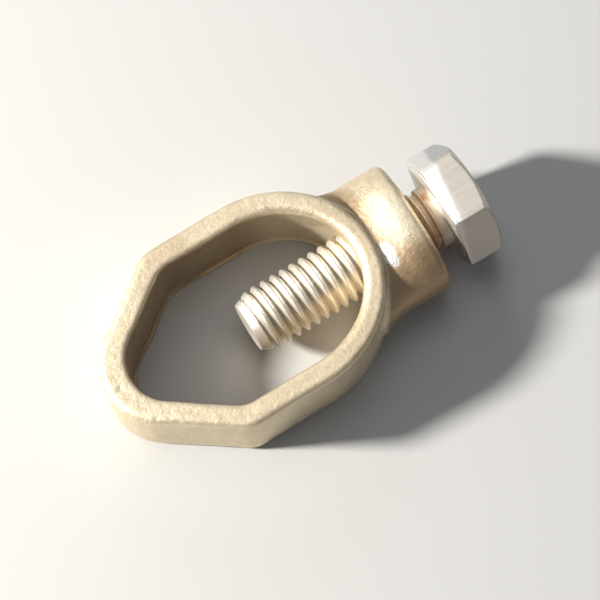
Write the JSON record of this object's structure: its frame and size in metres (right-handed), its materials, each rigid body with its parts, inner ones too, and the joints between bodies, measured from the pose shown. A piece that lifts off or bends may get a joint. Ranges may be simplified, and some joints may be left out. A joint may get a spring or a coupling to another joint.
{
  "type": "earth rod clamp",
  "caption": "Cast ring clamp for an earth rod: V-ended ring with a tapped boss and a hexagon-head set screw that grips rod and conductor.",
  "frame": {"origin": "on the axis of the ring's rounded V end, at half the ring's depth", "axes": "+X along the set screw from the V end towards the hexagon head, +Z along the earth rod, +Y across the ring"},
  "size_m": [0.0602, 0.0302, 0.0164],
  "materials": {
    "cast_bronze": "as cast, fine grained, dull",
    "plated_steel": "plated, satin"
  },
  "bodies": {
    "clamp_body": {"clamp_body": "cast_bronze"},
    "clamp_screw": {"clamp_screw": "plated_steel"}
  },
  "joints": [
    {"name": "screw_travel", "type": "slide", "parent": "clamp_body", "child": "clamp_screw", "axis": [1, 0, 0], "range_m": [-0.00317, 0.01746]}
  ]
}
